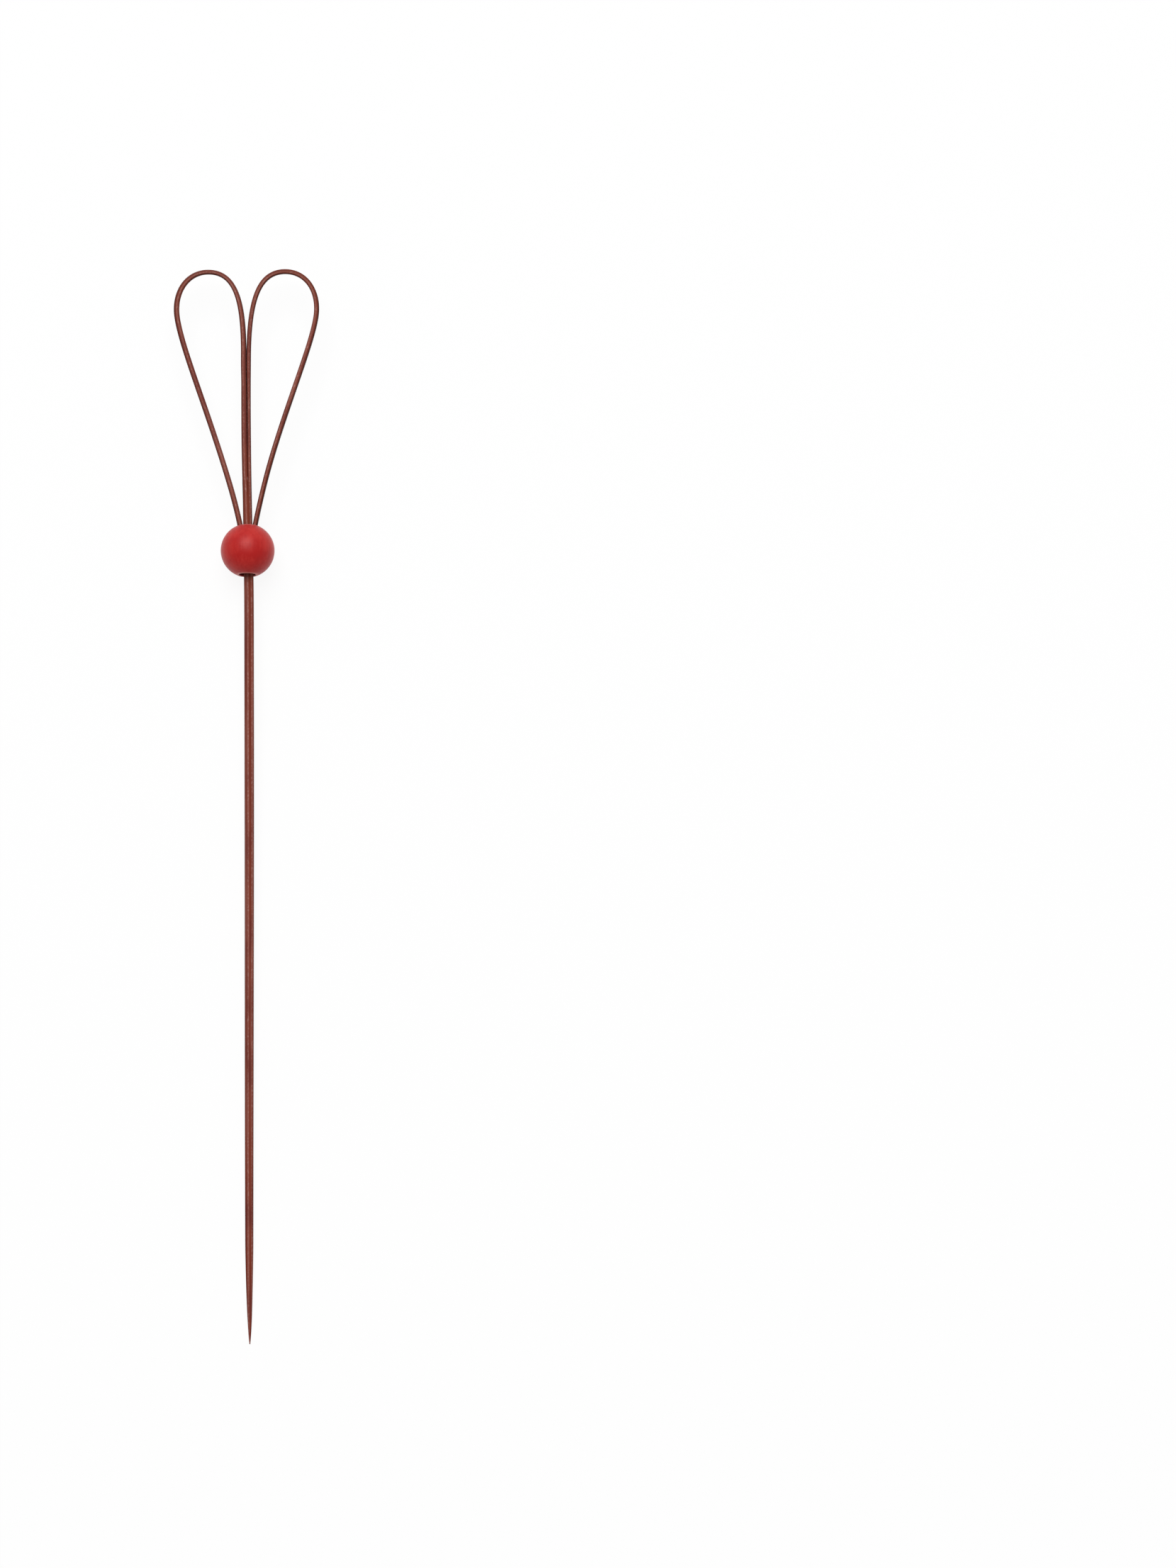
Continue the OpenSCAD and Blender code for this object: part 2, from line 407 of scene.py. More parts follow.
def pointShare(height):
    q = min(1.0, max(0.0, (height - tipAt) / b["pointLength"]))
    full = (1 - (1 - q) ** b["pointBow"]) ** b["pointBluntness"]
    return min(1.0, math.hypot(b["tipWidth"] / b["shoulderWidth"], full))


def stickWidth(height):
    toShoulder = min(1.0, max(0.0, height / shoulderAt))
    waist = b["waist"] * (1 - ease(abs(height - b["waistAt"]) / b["waistOver"]))
    return (mix(b["stickWidth"], b["shoulderWidth"], toShoulder ** 2) - waist) * pointShare(height)


def stickDepth(height):
    if height > -b["bellyAt"]:
        depth = mix(b["neckDepth"], b["bellyDepth"], ease(-height / b["bellyAt"]))
    else:
        depth = mix(b["bellyDepth"], b["shoulderDepth"], ramp(height, -b["bellyAt"], shoulderAt))
    return depth * pointShare(height)


def sway(height):
    # the real stick isn't quite straight
    return through(b["bow"], min(height, b["loopsTop"]))


def splitPlace(height):
    # how far right of the stick's middle the split runs
    begun = ramp(height, b["scoreAt"], b["splitAt"])
    back = ramp(height, b["splitStays"], b["liftAt"])
    return b["splitAside"] * begun * (1 - back * b["splitReturns"])


def crestPlaces(height):
    moved = ramp(height, *b["crestsMove"])
    return [mix(low, high, moved) for low, high in zip(b["crestsBelow"], b["crestsAbove"])]


def lipPlace():
    # the middle of the bead's rounded lip: distance from the axis and height
    out = bead["boreRadius"] + bead["mouthRound"]
    return out, math.sqrt((bead["radius"] - bead["mouthRound"]) ** 2 - out ** 2)


def restPitch():
    # the stick lies on the bead and on some place along its point
    def pitchAt(height):
        half = stickDepth(height) / 2 + b["crestHeight"] / 4   # with room for the fibres
        return math.asin(bead["radius"] / math.hypot(height, half)) - math.atan2(half, -height)
    steps = 200
    return min(pitchAt(mix(tipAt, shoulderAt, i / steps)) for i in range(steps + 1))


def restPlace():
    # from millimetres about the middle of the bead to metres where the pick lies
    return (Matrix.Translation((0, beadCentre.y, bead["radius"] * mm))
            @ Matrix.Rotation(restPitch(), 4, "X") @ Matrix.Scale(mm, 4))


def drift(height):
    # a leg follows the leaning bore as it nears the bead
    near = ramp(height, bead["radius"] + b["driftLength"], bead["radius"])
    return -min(height, bead["radius"]) * leanSlope * near


def stickStation(height, thick, deep, edge, score, relief):
    origin = Vector((sway(height), height, 0))
    crestLeft, crestRight = crestPlaces(height)
    # how strongly the stick's edges are painted with shade here
    skinDye = mix(b["stickEdgeShade"], b["skinEdgeShade"][0], ramp(height, *b["edgeShadeGrows"]))
    return dict(origin=origin, across=Vector((1, 0, 0)), thick=thick, deep=deep, edge=edge,
                notch=edge * score, aside=splitPlace(height), along=height, strip=0.0, relief=relief,
                faceAt=0.0, crestLeft=crestLeft, crestRight=crestRight, skinDye=skinDye,
                splitDye=b["splitEdgeShade"][0] * score, cleftDye=b["cleftDye"][0] * score)


def stickStations():
    rings = b["pointRings"]
    heights = [tipAt + b["pointLength"] * (i / rings) ** b["pointCrowding"] for i in range(rings)]
    count = math.ceil((b["splitAt"] - shoulderAt) / b["ringStep"])
    heights += [mix(shoulderAt, b["splitAt"], i / count) for i in range(count + 1)]
    found = []
    for share in (0.0, 0.4, 0.75, 0.93):      # the tiny round of the very tip
        height = tipAt - b["tipRound"] * math.sqrt(1 - share * share)
        found.append(stickStation(height, share * b["tipWidth"] / 2, share * stickDepth(height),
                                  0.0, 0.0, 0.0))
    for height in heights:
        thick = stickWidth(height) / 2
        edge = min(b["edge"], thick / 4)
        score = ramp(height, b["scoreAt"], b["splitAt"])
        relief = ramp(height, tipAt, tipAt + b["reliefOver"])
        found.append(stickStation(height, thick, stickDepth(height), edge, score, relief))
    return found


def evenShares(curve, step):
    # parameters of a curve at even distances along it
    fineSteps = 300
    fine = [i / fineSteps for i in range(fineSteps + 1)]
    points = [bezierPoint(curve, t) for t in fine]
    gone = np.cumsum([0] + [(q - p).length for p, q in zip(points, points[1:])])
    count = math.ceil(gone[-1] / step)
    return [float(np.interp(gone[-1] * (i + 1) / count, gone, fine)) for i in range(count)]


def stripStations(side):
    own = b["uneven"][side]
    legThick = b["stripThick"] + own["leg"]
    skinX = b["stickWidth"] / 2 + b["tuckGap"] + own["foot"]
    entry = math.radians(b["entryAngle"] + own["entry"])

    def splitFace(height):
        opened = min(1.0, (height - b["splitAt"]) / b["slitOpensOver"])
        return b["slit"] / 2 * opened + side * splitPlace(height)

    liftFace = splitFace(b["liftAt"])
    pairThick = stickWidth(b["liftAt"]) / 2 - liftFace
    lift = Vector((liftFace + pairThick / 2, b["liftAt"]))
    crown = Vector((b["crownX"], b["loopsTop"] - b["crownThick"] / 2 + own["crown"]))
    widest = Vector((b["loopsWidth"] / 2 - legThick / 2, b["widestAt"]))
    foot = Vector((skinX + legThick / 2 - (bead["radius"] - b["footAt"]) * math.tan(entry), b["footAt"]))
    rise = widest.y - foot.y
    pull = b["handles"]
    flank = [lift, lift + Vector((0, pull["flankUp"] * (crown.y - lift.y))),
             crown - Vector((pull["flankOut"] * (crown.x - lift.x), 0)), crown]
    shoulder = [crown, crown + Vector((pull["shoulderOut"] * (widest.x - crown.x), 0)),
                widest + Vector((0, pull["shoulderDown"] * (crown.y - widest.y))), widest]
    leg = [widest, widest - Vector((0, pull["legDown"] * rise)),
           foot + pull["legUp"] * rise * Vector((math.sin(entry), math.cos(entry))), foot]
    found = []
    last = None

    def add(stage, middle, way, thick, deep, height, relief=1.0, edge=b["edge"], stouter=0.0):
        # stages: 0 where the stick splits, 1 where the strips part, 2 crown, 3 widest, 4 foot
        nonlocal last
        normal = Vector((-way.y, way.x))
        split = middle + normal * thick / 2
        along = found[-1]["along"] + (middle - last).length if found else b["splitAt"]
        last = middle
        origin = Vector((side * split.x + sway(split.y), split.y, height))
        across = Vector((-side * normal.x, -normal.y, 0))
        faceAt = side * (splitFace(split.y) if stage < 1 else liftFace)
        thick += stouter
        crest = faceAt + side * thick * b["stripCrest"]
        # how strongly the edges and split faces are painted with shade at this stage
        edgeShades = {label: float(np.interp(stage, range(len(b[source])), b[source])) for label, source in
                (("skinDye", "skinEdgeShade"), ("splitDye", "splitEdgeShade"), ("cleftDye", "cleftDye"))}
        found.append(dict(origin=origin, across=across, thick=thick, deep=deep, edge=edge, notch=edge,
                          aside=0.0, along=along, strip=side, relief=relief, faceAt=faceAt,
                          crestLeft=crest, crestRight=crest, **edgeShades))

    up = Vector((0, 1))
    down = Vector((0, -1))
    count = math.ceil((b["liftAt"] - b["splitAt"]) / b["ringStep"])
    for i in range(count + 1):
        u = i / count
        height = mix(b["splitAt"], b["liftAt"], u)
        face = splitFace(height)
        half = stickWidth(height) / 2
        deep = mix(b["neckDepth"], b["stripDepth"], u)
        stouter = own["flank"] * ramp(u, b["stouterFrom"], 1)
        add(u, Vector(((half + face) / 2, height)), up, half - face, deep, 0.0, stouter=stouter)
    for u in evenShares(flank, b["ringStep"]):
        add(1 + u, bezierPoint(flank, u), bezierWay(flank, u),
            mix(pairThick, b["crownThick"], ease(u)), b["stripDepth"], 0.0,
            stouter=own["flank"] * (1 - ease(u)))
    for u in evenShares(shoulder, b["ringStep"]):
        add(2 + u, bezierPoint(shoulder, u), bezierWay(shoulder, u),
            mix(b["crownThick"], legThick, ease(u)), b["stripDepth"], 0.0)
    for u in evenShares(leg, b["ringStep"]):
        middle = bezierPoint(leg, u)
        add(3 + u, middle, bezierWay(leg, u), legThick, b["stripDepth"], drift(middle.y))

    # the pared end, straight down beside the stick
    pareEnd = lipPlace()[1] + bead["mouthRound"] / 3
    tuckEnd = bead["radius"] - b["tuckLength"]
    legWay = bezierWay(leg, 1.0)
    for i in range(1, b["pareRings"] + 1):
        u = i / b["pareRings"]
        thick = mix(legThick, b["tuckThick"], u)
        height = mix(b["footAt"], pareEnd, u)
        middle = mix(foot.x - legThick / 2, skinX, u) + thick / 2
        add(4, Vector((middle, height)), mix(legWay, down, u).normalized(), thick,
            mix(b["stripDepth"], b["tuckDepth"], u), drift(height), 1 - u,
            mix(b["edge"], b["tuckThick"] / 5, u))
    for i in range(1, b["tuckRings"] + 1):
        height = mix(pareEnd, tuckEnd, i / b["tuckRings"])
        add(4, Vector((skinX + b["tuckThick"] / 2, height)), down, b["tuckThick"], b["tuckDepth"],
            drift(height), 0.0, b["tuckThick"] / 5)
    add(4, Vector((skinX + b["tuckThick"] / 2, tuckEnd)), down, 0.0, 0.0, drift(tuckEnd), 0.0, 0.0)
    return found


def sectionHalf():
    # outline of half a section, from the back of the split plane round the skin to the front:
    # shares of the thickness, of the broken edge, of the half depth and of the notch
    cornerSteps, skinSteps, fineSteps = 4, 38, 400
    reach = math.radians(80)                  # how far the skin turns to either side
    flatness = 0.67                           # half of a strip's depth over its thickness
    corner = [(0.0, 1 - math.cos(a), 1.0, math.sin(a) - 1)
              for a in (math.radians(90) * i / cornerSteps for i in range(cornerSteps + 1))]
    fine = [mix(-reach, reach, i / fineSteps) for i in range(fineSteps + 1)]
    xs = [math.cos(a) ** b["roundness"] for a in fine]
    zs = [math.copysign(abs(math.sin(a)) ** b["roundness"], a) for a in fine]
    gone = np.cumsum([0] + [math.hypot(x1 - x0, flatness * (z1 - z0))
                            for x0, x1, z0, z1 in zip(xs, xs[1:], zs, zs[1:])])
    even = np.linspace(0, gone[-1], skinSteps)
    skin = [(float(x), 0.0, float(z), 0.0)
            for x, z in zip(np.interp(even, gone, xs), np.interp(even, gone, zs))]
    back = [(x, e, -z, -n) for x, e, z, n in corner]
    return back + skin + corner[::-1]


def sectionLine(name, shares):
    # the points only need to lie apart, because the tree places them by their shares
    ring = [(x + 0.2 * e, z + 0.2 * n, 0) for x, e, z, n in shares]
    labels = ("thickShare", "edgeShare", "deepShare", "notchShare")
    return lineMesh(name, [ring], True, {label: [s[i] for s in shares] for i, label in enumerate(labels)})


def bambooTree(inputs):
    bench = newModifierTree("bambooSweep", inputs)
    guides = bench.given("Geometry")
    isStrip = bench.math("GREATER_THAN", bench.math("ABSOLUTE", bench.read("strip")), 0.5)
    strips = bench.node("GeometryNodeSeparateGeometry", {"domain": "POINT"},
                        {"Geometry": guides, "Selection": isStrip})
    swept = []
    for guide, section in ((strips, "Strip Section"), (strips.also("Inverted"), "Stick Section")):
        path = bench.node("GeometryNodeMeshToCurve", None, {"Mesh": guide})
        shape = bench.node("GeometryNodeObjectInfo", None, {"Object": bench.given(section)}, "Geometry")
        ring = bench.node("GeometryNodeMeshToCurve", None, {"Mesh": shape})
        swept.append(bench.node("GeometryNodeCurveToMesh", None, {"Curve": path, "Profile Curve": ring}))
    skin = bench.node("GeometryNodeJoinGeometry", None, {"Geometry": swept})

    # each point goes where the section's shares of the guide's sizes put it
    share = bench.read("thickShare")
    fromMiddle = bench.math("ABSOLUTE", share)
    intoWood = (share * bench.read("thick") + bench.read("edgeShare") * bench.read("edge")
                + bench.read("aside") * (1 - fromMiddle))
    upwards = (bench.read("deepShare") * bench.read("deep") * 0.5
               + bench.read("notchShare") * bench.read("notch"))
    sideways = bench.scaled(bench.read("across", "FLOAT_VECTOR"), intoWood)
    lifted = bench.vector("ADD", sideways, bench.whole(0.0, 0.0, upwards))
    placed = bench.vector("ADD", bench.read("origin", "FLOAT_VECTOR"), lifted)
    skin = bench.node("GeometryNodeSetPosition", None, {"Geometry": skin, "Position": placed})

    # where each point was in the straight stick, so that the grain runs round the bends
    strip = bench.read("strip")
    sideSign = strip + (1 - bench.math("ABSOLUTE", strip))
    grain = bench.whole(intoWood * sideSign + bench.read("faceAt"), bench.read("along"), upwards)
    skin = bench.store(skin, "grain", grain, "FLOAT_VECTOR")

    # painted shade on the edges of the skin and on the split faces, which turn from the light and shade
    # each other
    splitEdge = bench.span(fromMiddle, b["splitEdgeShare"], 0.0) * bench.read("splitDye")
    skinEdge = bench.span(fromMiddle, b["skinEdgeFrom"], 1.0) * bench.read("skinDye")
    skin = bench.store(skin, "brink", bench.math("MAXIMUM", splitEdge, skinEdge))
    # painted shade over the split faces, strongest where the slit is closed
    onSplit = bench.math("LESS_THAN", fromMiddle, 0.001)
    faceShare = onSplit * (1 - bench.math("ABSOLUTE", bench.read("edgeShare")))
    skin = bench.store(skin, "cleft", faceShare * bench.read("cleftDye"))
    skin = bench.node("GeometryNodeMergeByDistance", None, {"Geometry": skin, "Distance": b["weldWithin"]})

    # two ridges along the stick, and finer fibres of uneven height
    place = bench.read("grain", "FLOAT_VECTOR")
    x, y, z = bench.parts(place)
    wander = bench.noise(bench.whole(0.0, y * b["wanderFineness"], bench.given("Seed"))) - 0.5
    perCrest = bench.math("DIVIDE", 1.0, bench.given("Crest Width"))
    rises = []
    for name in ("crestLeft", "crestRight"):
        off = (x - bench.read(name) + wander * b["crestWander"]) * perCrest
        rises.append(bench.math("MAXIMUM", 1 - off * off, 0.0))
    crest = bench.math("MAXIMUM", rises[0], rises[1] * b["rightCrest"])
    skin = bench.store(skin, "crest", crest)
    perWidth = bench.math("DIVIDE", 1.0, bench.given("Fibre Width"))
    perLength = bench.math("DIVIDE", 1.0, bench.given("Fibre Length"))
    fibrePlace = bench.whole(x * perWidth, y * perLength + bench.given("Seed"), z * perWidth)
    fibres = bench.noise(fibrePlace, detail=1.5) - 0.5
    height = ((bench.read("crest") - b["crestFloor"]) * bench.given("Crest Height")
              + fibres * bench.given("Fibre Height"))
    offset = bench.scaled(bench.node("GeometryNodeInputNormal"), height * bench.read("relief"))
    skin = bench.node("GeometryNodeSetPosition", None, {"Geometry": skin, "Offset": offset})
    finishTree(bench, skin)
    return bench


def makeBamboo(material):
    half = sectionHalf()
    faceSteps = 8
    whole = half + [(-x, -e, z, n) for x, e, z, n in half[-2:0:-1]]
    face = [(0.0, 0.0, mix(1, -1, i / faceSteps), mix(-1, 1, i / faceSteps)) for i in range(1, faceSteps)]
    stickSection = sectionLine("stickSection", whole)
    stripSection = sectionLine("stripSection", half + face)
    chains = [stickStations(), stripStations(1.0), stripStations(-1.0)]
    stations = [s for chain in chains for s in chain]
    guides = lineMesh("guides", [[s["origin"] for s in chain] for chain in chains], False,
                      {label: [s[label] for s in stations] for label in stations[0]})
    inputs = {
        "Stick Section": ("Object", stickSection),
        "Strip Section": ("Object", stripSection),
        "Crest Width": ("Float", b["crestWidth"]),
        "Crest Height": ("Float", b["crestHeight"]),
        "Fibre Width": ("Float", b["fibreWidth"]),
        "Fibre Length": ("Float", b["fibreLength"]),
        "Fibre Height": ("Float", b["fibreHeight"]),
        "Seed": ("Float", b["seed"]),
        "Material": ("Material", material),
    }
    shown = ("grain", "crest", "brink", "cleft")
    piece = pieceFromTree("dyedBambooPick", guides, bambooTree(inputs), inputs, restPlace(), shown)
    for helper in (guides, stickSection, stripSection):
        bpy.data.objects.remove(helper)
    return piece


# Bead: a turned ball with a bore and round lips

def beadSection():
    # half of the bead's section: distance from the axis, height, shares of relief, lip wear and painted
    # highlight, and bore
    r, lip, bore = bead["radius"], bead["mouthRound"], bead["boreRadius"]
    lipX, lipZ = lipPlace()
    touch = math.atan2(lipZ, lipX)            # the angle where ball and lip meet
    ballSteps, lipSteps, boreSteps = 96, 14, 16
    ball = [(r * math.cos(a), r * math.sin(a), 1.0, ramp(abs(a) / touch, bead["wearAndHighlightFrom"], 1), 0.0)
            for a in (mix(-touch, touch, i / ballSteps) for i in range(ballSteps + 1))]
    top = [(lipX + lip * math.cos(a), lipZ + lip * math.sin(a), 0.4, ramp(a, *bead["wearAndHighlightFades"]),
            ramp(a, *bead["boreStarts"]))
           for a in (mix(touch, math.pi, i / lipSteps) for i in range(1, lipSteps + 1))]
    wall = [(bore, mix(lipZ, -lipZ, i / boreSteps), 0.3, 0.0, 1.0) for i in range(1, boreSteps)]
    bottom = [(x, -z, *shares) for x, z, *shares in top[::-1]]
    return ball + top + wall + bottom


def beadTree(inputs):
    bench = newModifierTree("beadSpin", inputs)
    circle = bench.node("GeometryNodeCurvePrimitiveCircle", {"mode": "RADIUS"},
                        {"Resolution": bench.given("Steps Around"), "Radius": 1.0})
    circle = bench.store(circle, "spoke", bench.node("GeometryNodeInputPosition"), "FLOAT_VECTOR")
    section = bench.node("GeometryNodeMeshToCurve", None, {"Mesh": bench.given("Geometry")})
    skin = bench.node("GeometryNodeCurveToMesh", None, {"Curve": circle, "Profile Curve": section})
    outwards = bench.scaled(bench.read("spoke", "FLOAT_VECTOR"), bench.read("fromAxis"))
    placed = bench.vector("ADD", outwards, bench.whole(0.0, 0.0, bench.read("height")))
    skin = bench.node("GeometryNodeSetPosition", None, {"Geometry": skin, "Position": placed})
    skin = bench.store(skin, "turned", bench.node("GeometryNodeInputPosition"), "FLOAT_VECTOR")
    place = bench.read("turned", "FLOAT_VECTOR")
    scale = bench.math("DIVIDE", 1.0, bench.given("Dent Size"))
    shifted = bench.vector("ADD", place, bench.whole(bench.given("Seed"), 0.0, 0.0))
    dents = bench.noise(shifted, scale, detail=2.0) - 0.5
    offset = bench.scaled(bench.node("GeometryNodeInputNormal"),
                          dents * bench.given("Dent Depth") * bench.read("relief"))
    skin = bench.node("GeometryNodeSetPosition", None, {"Geometry": skin, "Offset": offset})
    finishTree(bench, skin)
    return bench


def makeBead(material):
    section = beadSection()
    labels = ("fromAxis", "height", "relief", "lipWear", "inBore")
    attributes = {label: [s[i] for s in section] for i, label in enumerate(labels)}
    profile = lineMesh("beadSection", [[(s[0], s[1], 0) for s in section]], True, attributes)
    inputs = {
        "Steps Around": ("Int", bead["around"]),
        "Dent Size": ("Float", bead["dentSize"]),
        "Dent Depth": ("Float", bead["dentDepth"]),
        "Seed": ("Float", bead["seed"]),
        "Material": ("Material", material),
    }
    onItsSide = Matrix.Rotation(math.radians(-90 - bead["lean"]), 4, "X")
    shown = ("turned", "lipWear", "inBore")
    piece = pieceFromTree("paintedBead", profile, beadTree(inputs), inputs, restPlace() @ onItsSide, shown)
    bpy.data.objects.remove(profile)
    return piece


# Materials

bambooColours = {                          # colours of the dyed bamboo, with painted shade and painted highlights among them, as linear values
    # the next two colours are painted shade: on the split faces, darkest in the slit, and on the edges
    "cleft": (0.018, 0.003, 0.002, 1),
    "deep": (0.060, 0.009, 0.004, 1),
    "dark": (0.120, 0.018, 0.009, 1),
    "middle": (0.200, 0.042, 0.024, 1),
    "clear": (0.200, 0.030, 0.011, 1),
    "stained": (0.110, 0.017, 0.014, 1),
    "dull": (0.230, 0.078, 0.060, 1),
    # paler wood on the ridges, partly a painted highlight, then the colour of the painted glints
    "pale": (0.310, 0.108, 0.082, 1),
    "glint": (0.46, 0.26, 0.22, 1),
    # patterns in the dye: fineness across and along the grain, detail and unevenness
    "bands": (4.2, 0.045, 2.0, 0.5),
    "fibres": (17.0, 0.40, 3.0, 0.6),
    "lines": (9.0, 0.06, 1.0, 0.5),
    "flecks": (6.5, 3.6, 1.0, 0.5),
    "patches": (1.3, 0.17, 2.0, 0.5),
    # where in its pattern a colour starts and is full, and how strongly it covers there
    "dullSpread": (0.45, 0.62, 0.8),
    "darkSpread": (0.52, 0.40, 0.9),
    "stainSpread": (0.52, 0.36, 0.65),
    "edgeSpread": (0.1, 1.0, 0.95),
    # where the painted glints show, and how strongly
    "glintsAt": (0.50, 0.68),
    "glintShare": 0.5,
    "ridgeShare": 0.86,
    "ridgeInStains": (0.34, 0.56, 0.45, 1.0),   # the ridge keeps 45 percent of its paleness there
    "roughness": 0.48,
    "roughnessVaries": 0.25,
    "glintsSmoother": 0.08,
    "specular": 0.08,
    "bump": 0.6,
    "bumpHeight": 0.00002,
}
paint = {                        # colours of the bead's paint, with a painted highlight on the lips and painted shade in the bore
    "body": (0.420, 0.006, 0.005, 1),
    "thin": (0.500, 0.020, 0.015, 1),
    "pooled": (0.260, 0.004, 0.005, 1),
    # worn paint on the lips, partly a painted highlight on their rounded rims
    "wornAndHighlight": (0.680, 0.220, 0.190, 1),
    "bore": (0.150, 0.012, 0.009, 1),   # thin paint that ran into the bore, darkened further as painted shade in the recess
    "boreRoughness": 0.9,
    "roughness": 0.47,
    "specular": 0.27,
    "sheen": 0.26,
    "sheenRoughness": 0.35,
    "sheenTint": (1.0, 0.72, 0.72, 1),
    # patterns in the paint: fineness round the bead and along its bore
    "streaks": (3.5, 0.7),
    "pores": (9.0, 2.2),
    "clouds": 0.55,
    "peel": 5.0,
    "wearAndHighlightShare": 0.7,
    "thinAt": (0.42, 0.62),      # where in its pattern the thin paint starts and is full
    "poresAt": (0.66, 0.74),
    "poreShare": 0.4,
    "peelRoughens": 0.16,
    "cloudsRoughen": 0.1,
    "bump": 0.5,
    "bumpHeight": 0.00004,
}


def newMaterial(name):
    material = bpy.data.materials.new(name)
    material.use_nodes = True
    material.node_tree.nodes.clear()
    return material, Bench(material.node_tree)


def bambooMaterial():
    material, bench = newMaterial("dyedBamboo")
    x, y, z = bench.parts(bench.shown("grain", "Vector"))
    crest, brink, cleft = bench.shown("crest"), bench.shown("brink"), bench.shown("cleft")

    def pattern(name):
        across, along, detail, roughness = bambooColours[name]
        return bench.noise(bench.whole(x * across, y * along, z * across), 1.0, detail, roughness)

    def spread(value, name):
        starts, full, most = bambooColours[name]
        return bench.span(value, starts, full, 0.0, most)

    bands, fibres, lines = pattern("bands"), pattern("fibres"), pattern("lines")
    flecks, patches = pattern("flecks"), pattern("patches")
    tone = bands * 0.35 + fibres * 0.35 + lines * 0.30

    # the ground colour, then the groove, the darker streaks and the stains
    colour = bench.blend(spread(bands, "dullSpread"), bambooColours["middle"], bambooColours["dull"])
    groove = bench.span(bench.math("ABSOLUTE", x - b["grooveAt"]), b["grooveWidth"], 0.3 * b["grooveWidth"])
    colour = bench.blend(groove * (1 - bench.span(crest, 0.0, 0.5)), colour, bambooColours["clear"])
    colour = bench.blend(spread(tone, "darkSpread"), colour, bambooColours["dark"])
    colour = bench.blend(spread(patches, "stainSpread"), colour, bambooColours["stained"])

    # the paler ridges, partly a painted highlight, which the stains dim, and painted glints on them
    ridge = bench.span(crest, 0.0, 0.9) * bench.span(patches, *bambooColours["ridgeInStains"])
    colour = bench.blend(ridge * bambooColours["ridgeShare"] + (tone - 0.5) * 0.9, colour, bambooColours["pale"])
    # painted glints: small highlights dotted along the ridges
    glints = bench.span(flecks, *bambooColours["glintsAt"]) * ridge
    colour = bench.blend(glints * bambooColours["glintShare"], colour, bambooColours["glint"])

    # painted shade on the edges and the split faces, darkest in the slit
    colour = bench.blend(spread(brink + (fibres - 0.5) * 0.5, "edgeSpread"), colour, bambooColours["deep"])
    colour = bench.blend(cleft, colour, bambooColours["cleft"])
    roughness = (bambooColours["roughness"] + (fibres - 0.5) * bambooColours["roughnessVaries"]
                 - glints * bambooColours["glintsSmoother"])
    bump = bench.node("ShaderNodeBump", None,
                      {"Strength": bambooColours["bump"], "Distance": bambooColours["bumpHeight"],
                       "Height": fibres * 0.7 + flecks * 0.3})
    shader = bench.node("ShaderNodeBsdfPrincipled", None, {
        "Base Color": colour, "Roughness": roughness, "Normal": bump,
        "Specular IOR Level": bambooColours["specular"]})
    bench.node("ShaderNodeOutputMaterial", None, {"Surface": shader})
    return material


def beadMaterial():
    material, bench = newMaterial("redBeadPaint")
    place = bench.shown("turned", "Vector")
    x, y, z = bench.parts(place)

    def turnedPattern(name, detail):
        around, along = paint[name]
        return bench.noise(bench.whole(x * around, y * around, z * along), detail=detail)

    clouds = bench.noise(place, paint["clouds"], detail=2.0)
    streaks = turnedPattern("streaks", 3.0)
    peel = bench.noise(place, paint["peel"], detail=2.0)
    pores = turnedPattern("pores", 1.0)
    thin = bench.span(clouds * 0.6 + streaks * 0.4, *paint["thinAt"])
    colour = bench.blend(thin, paint["body"], paint["thin"])
    # pale lips: worn paint and a painted highlight on the rounded rims
    colour = bench.blend(bench.shown("lipWear") * paint["wearAndHighlightShare"], colour, paint["wornAndHighlight"])
    colour = bench.blend(bench.span(pores, *paint["poresAt"]) * paint["poreShare"], colour, paint["pooled"])
    roughness = (paint["roughness"] + (peel - 0.5) * paint["peelRoughens"]
                 + (clouds - 0.5) * paint["cloudsRoughen"])
    bump = bench.node("ShaderNodeBump", None,
                      {"Strength": paint["bump"], "Distance": paint["bumpHeight"],
                       "Height": peel * 0.6 + streaks * 0.4})
    outside = bench.node("ShaderNodeBsdfPrincipled", None, {
        "Base Color": colour, "Roughness": roughness, "Normal": bump,
        "Specular IOR Level": paint["specular"], "Sheen Weight": paint["sheen"],
        "Sheen Roughness": paint["sheenRoughness"], "Sheen Tint": paint["sheenTint"]})
    # the bore's dark colour is partly painted shade in the recess
    bore = bench.node("ShaderNodeBsdfPrincipled", None, {
        "Base Color": paint["bore"], "Roughness": paint["boreRoughness"], "Specular IOR Level": 0.0})
    shader = bench.node("ShaderNodeMixShader", None, {0: bench.shown("inBore"), 1: outside, 2: bore})
    bench.node("ShaderNodeOutputMaterial", None, {"Surface": shader})
    return material


# The two pieces

bambooPiece = makeBamboo(bambooMaterial())
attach(bambooPiece, "root")
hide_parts("bamboo_pick")
print("bamboo made")

beadPiece = makeBead(beadMaterial())
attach(beadPiece, "root")
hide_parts("bead")
print("bead made")


# Floor, world and lamps

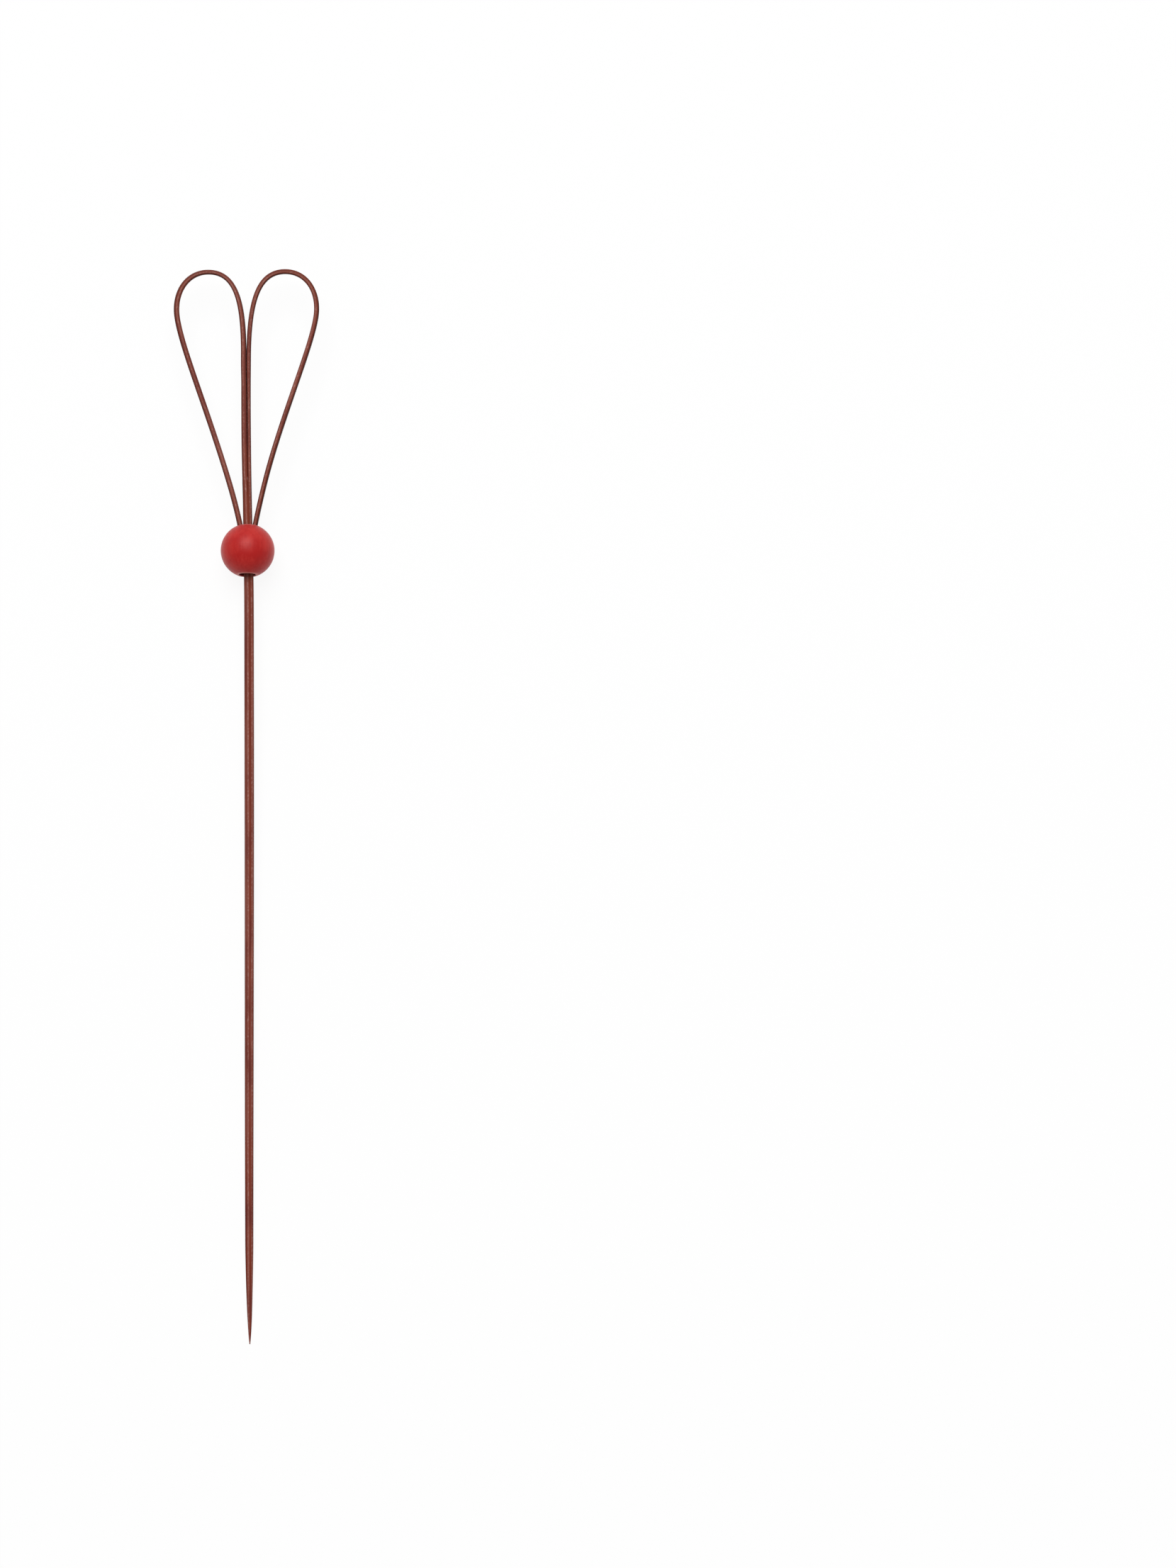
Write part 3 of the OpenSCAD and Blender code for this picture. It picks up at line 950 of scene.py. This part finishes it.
studio = {
    "floorSize": 6.0,            # metres
    "floorColour": (1.0, 1.0, 1.0, 1),
    "floorGlow": 0.91,           # share of plain white that the camera sees on the floor
    "fill": 0.29,                # strength of the world on the object
    "keyWatts": 19.5,
    "keySize": 1.2,              # metres, as is its distance
    "keyDistance": 1.5,
    "keyFrom": (-0.03, 0.50, 0.86),
}


def seenDirectly(bench):
    path = bench.node("ShaderNodeLightPath")
    seen = bench.math("MAXIMUM", path, path.also("Is Glossy Ray"))
    return bench.math("MAXIMUM", seen, path.also("Is Transmission Ray"))


def makeFloor():
    half = studio["floorSize"] / 2
    mesh = bpy.data.meshes.new("floor")
    mesh.from_pydata([(-half, -half, 0), (half, -half, 0), (half, half, 0), (-half, half, 0)], [],
                     [(0, 1, 2, 3)])
    material, bench = newMaterial("paleTable")
    matt = bench.node("ShaderNodeBsdfDiffuse", None, {"Color": studio["floorColour"]})
    white = bench.node("ShaderNodeEmission", None, {"Color": (1, 1, 1, 1), "Strength": 1.0})
    shader = bench.node("ShaderNodeMixShader", None,
                        {0: seenDirectly(bench) * studio["floorGlow"], 1: matt, 2: white})
    bench.node("ShaderNodeOutputMaterial", None, {"Surface": shader})
    mesh.materials.append(material)
    floor = bpy.data.objects.new("floor", mesh)
    scene.collection.objects.link(floor)


def makeWorld():
    world = bpy.data.worlds.new("studio")
    world.use_nodes = True
    world.node_tree.nodes.clear()
    bench = Bench(world.node_tree)
    strength = bench.span(seenDirectly(bench), 0.0, 1.0, studio["fill"], 1.0)
    light = bench.node("ShaderNodeBackground", None, {"Color": (1, 1, 1, 1), "Strength": strength})
    bench.node("ShaderNodeOutputWorld", None, {"Surface": light})
    scene.world = world


def makeKey():
    data = bpy.data.lights.new("key", "AREA")
    data.shape = "DISK"
    data.size = studio["keySize"]
    data.energy = studio["keyWatts"]
    towards = Vector(studio["keyFrom"]).normalized()
    key = bpy.data.objects.new("key", data)
    turn = towards.to_track_quat("Z", "Y").to_matrix().to_4x4()
    key.matrix_world = Matrix.Translation(towards * studio["keyDistance"]) @ turn
    scene.collection.objects.link(key)


makeFloor()
makeWorld()
makeKey()
print("studio ready")
